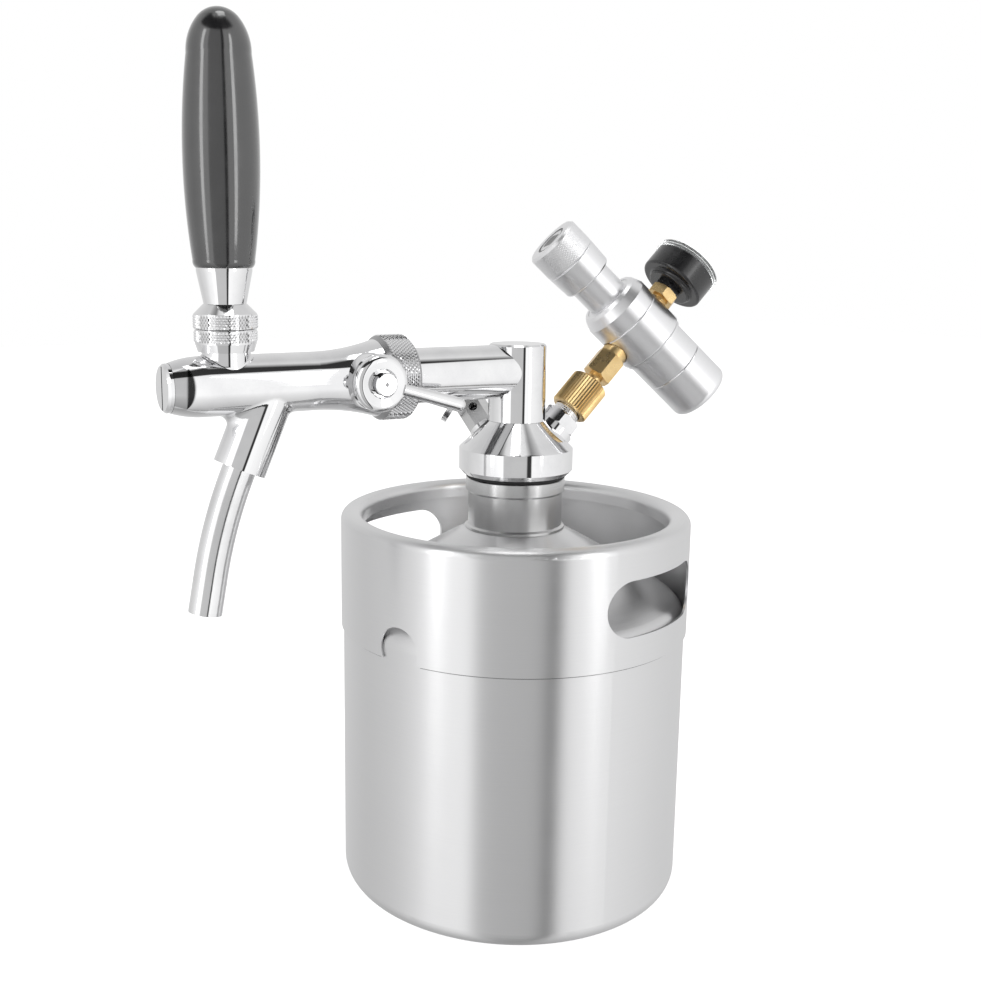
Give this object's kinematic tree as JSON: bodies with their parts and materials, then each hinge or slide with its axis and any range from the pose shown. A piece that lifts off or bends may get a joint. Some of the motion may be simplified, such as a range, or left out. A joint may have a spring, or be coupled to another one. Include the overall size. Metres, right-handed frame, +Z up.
{
  "type": "mini keg beer dispenser",
  "caption": "Small steel keg with a screw-on tap head, a long tap with tilting handle and curved spout, a flow-control lever and a cartridge gas regulator with gauge.",
  "frame": {"origin": "centre of the circle that the keg stands on, on the ground", "axes": "+Z up along the keg's axis, -Y to the front where the tap points, +X to the side of the flow lever, +Y to the regulator"},
  "size_m": [0.16, 0.2704, 0.3839],
  "materials": {
    "brushed_steel": "satin",
    "brushed_collar": "satin",
    "neck_steel": "satin",
    "plain_steel": "satin",
    "polished_steel": "polished",
    "polished_nut": "polished",
    "polished_tube": "polished",
    "spring_steel": "gloss",
    "ring_steel": "gloss",
    "black_rubber": "matte",
    "black_gloss": "gloss",
    "white_plastic": "matte",
    "bright_brass": "polished",
    "satin_aluminium": "satin",
    "dark_inlay": "satin",
    "black_case": "gloss",
    "white_dial": "matte",
    "needle_black": "matte",
    "clear_lens": "gloss"
  },
  "bodies": {
    "keg": {"keg_shell": "brushed_steel", "keg_collar": "brushed_collar", "keg_neck": "neck_steel"},
    "gasket_ring": {"neck_gasket": "black_rubber"},
    "head": {"cap_body": "polished_steel", "riser_post": "polished_steel", "shank_tube": "polished_steel", "dip_tube": "plain_steel", "dip_tube_gland": "plain_steel", "tail_gasket": "black_rubber", "tap_body": "polished_steel", "front_plug": "polished_steel", "spout_tube": "polished_tube", "spout_seal": "black_rubber", "lever_bonnet": "polished_nut", "flow_ring": "polished_steel", "inlet_adapter": "polished_steel", "relief_body": "plain_steel", "relief_spring": "spring_steel"},
    "coupling_nut": {"coupling_nut": "polished_nut"},
    "handle": {"lever": "plain_steel", "lever_lock_nut": "polished_nut", "handle_ferrule": "polished_steel", "handle_grip": "black_gloss"},
    "plunger": {"plunger": "plain_steel", "plunger_seal": "black_rubber"},
    "flow_knob": {"flow_lever": "polished_steel", "flow_shaft": "plain_steel", "flow_hub": "polished_steel"},
    "compensator": {"compensator": "white_plastic"},
    "regulator": {"outlet_stem": "bright_brass", "regulator_body": "satin_aluminium", "regulator_bonnet": "satin_aluminium", "adjusting_spring": "spring_steel", "socket_collar": "satin_aluminium", "cartridge_socket": "satin_aluminium", "piercing_pin": "plain_steel", "piercing_seal": "black_rubber", "gauge_stem": "bright_brass", "gauge_case": "black_case", "bourdon_tube": "bright_brass", "gauge_dial": "white_dial", "gauge_lens": "clear_lens"},
    "swivel_nut": {"swivel_nut": "bright_brass"},
    "piston": {"regulator_piston": "bright_brass", "valve_poppet": "bright_brass"},
    "knob": {"adjusting_knob": "satin_aluminium", "knob_inlay": "dark_inlay"},
    "follower": {"spring_follower": "bright_brass"},
    "needle": {"gauge_needle": "needle_black"},
    "relief_stem": {"relief_stem": "plain_steel"},
    "pull_ring": {"pull_ring": "ring_steel"}
  },
  "joints": [
    {"name": "head_lift", "type": "slide", "parent": "keg", "child": "gasket_ring", "axis": [0, 0, 1], "range_m": [0, 0.00901]},
    {"name": "head_turn", "type": "hinge", "parent": "gasket_ring", "child": "head", "pos_m": [0, 0, 0.2], "axis": [0, 0, 1], "range_deg": [0, 1080]},
    {"name": "coupling_nut_turn", "type": "hinge", "parent": "head", "child": "coupling_nut", "pos_m": [0, -0.064, 0.24], "axis": [0, -1, 0], "continuous": true},
    {"name": "handle_tilt", "type": "hinge", "parent": "head", "child": "handle", "pos_m": [0, -0.1365, 0.255], "axis": [1, 0, 0], "range_deg": [0, 22]},
    {"name": "plunger_slide", "type": "slide", "parent": "head", "child": "plunger", "axis": [0, 1, 0], "range_m": [0, 0.0058]},
    {"name": "flow_turn", "type": "hinge", "parent": "head", "child": "flow_knob", "pos_m": [0.0165, -0.0776, 0.24], "axis": [1, 0, 0], "range_deg": [0, 60]},
    {"name": "compensator_slide", "type": "slide", "parent": "head", "child": "compensator", "axis": [0, 1, 0], "range_m": [0, 0.00255]},
    {"name": "regulator_swivel", "type": "hinge", "parent": "head", "child": "regulator", "pos_m": [0, 0.03364, 0.22564], "axis": [0, 0.7071, 0.7071], "continuous": true},
    {"name": "swivel_nut_turn", "type": "hinge", "parent": "regulator", "child": "swivel_nut", "pos_m": [0, 0.03364, 0.22564], "axis": [0, 0.7071, 0.7071], "continuous": true},
    {"name": "piston_slide", "type": "slide", "parent": "regulator", "child": "piston", "axis": [-0.2334, -0.6876, 0.6876], "range_m": [0, 0.0004], "stiffness_N_per_m": 4000, "deforming": ["adjusting_spring"]},
    {"name": "knob_turn", "type": "hinge", "parent": "regulator", "child": "knob", "pos_m": [-0.01167, 0.03122, 0.29198], "axis": [0.2334, 0.6876, -0.6876], "range_deg": [0, 720]},
    {"name": "follower_slide", "type": "slide", "parent": "regulator", "child": "follower", "axis": [0.2334, 0.6876, -0.6876], "range_m": [0, 0.00201], "deforming": ["adjusting_spring"]},
    {"name": "needle_swing", "type": "hinge", "parent": "regulator", "child": "needle", "pos_m": [0, 0.09304, 0.28504], "axis": [0, -0.7071, -0.7071], "range_deg": [0, 270], "stiffness_Nm_per_rad": 0.00002},
    {"name": "relief_pull", "type": "slide", "parent": "head", "child": "relief_stem", "axis": [-0.683, -0.183, 0.7071], "range_m": [0, 0.002], "stiffness_N_per_m": 800, "deforming": ["relief_spring"]},
    {"name": "ring_swing", "type": "hinge", "parent": "relief_stem", "child": "pull_ring", "pos_m": [-0.03454, -0.00926, 0.22776], "axis": [-0.8251, 0.565, 0], "range_deg": [0, 60]}
  ],
  "couplings": [
    {"joint": "head_lift", "follows": "head_turn", "m_per_rad": 0.00047746},
    {"joint": "plunger_slide", "follows": "handle_tilt", "m_per_rad": 0.0148},
    {"joint": "compensator_slide", "follows": "flow_turn", "m_per_rad": 0.0024},
    {"joint": "follower_slide", "follows": "knob_turn", "m_per_rad": 0.00015915}
  ]
}
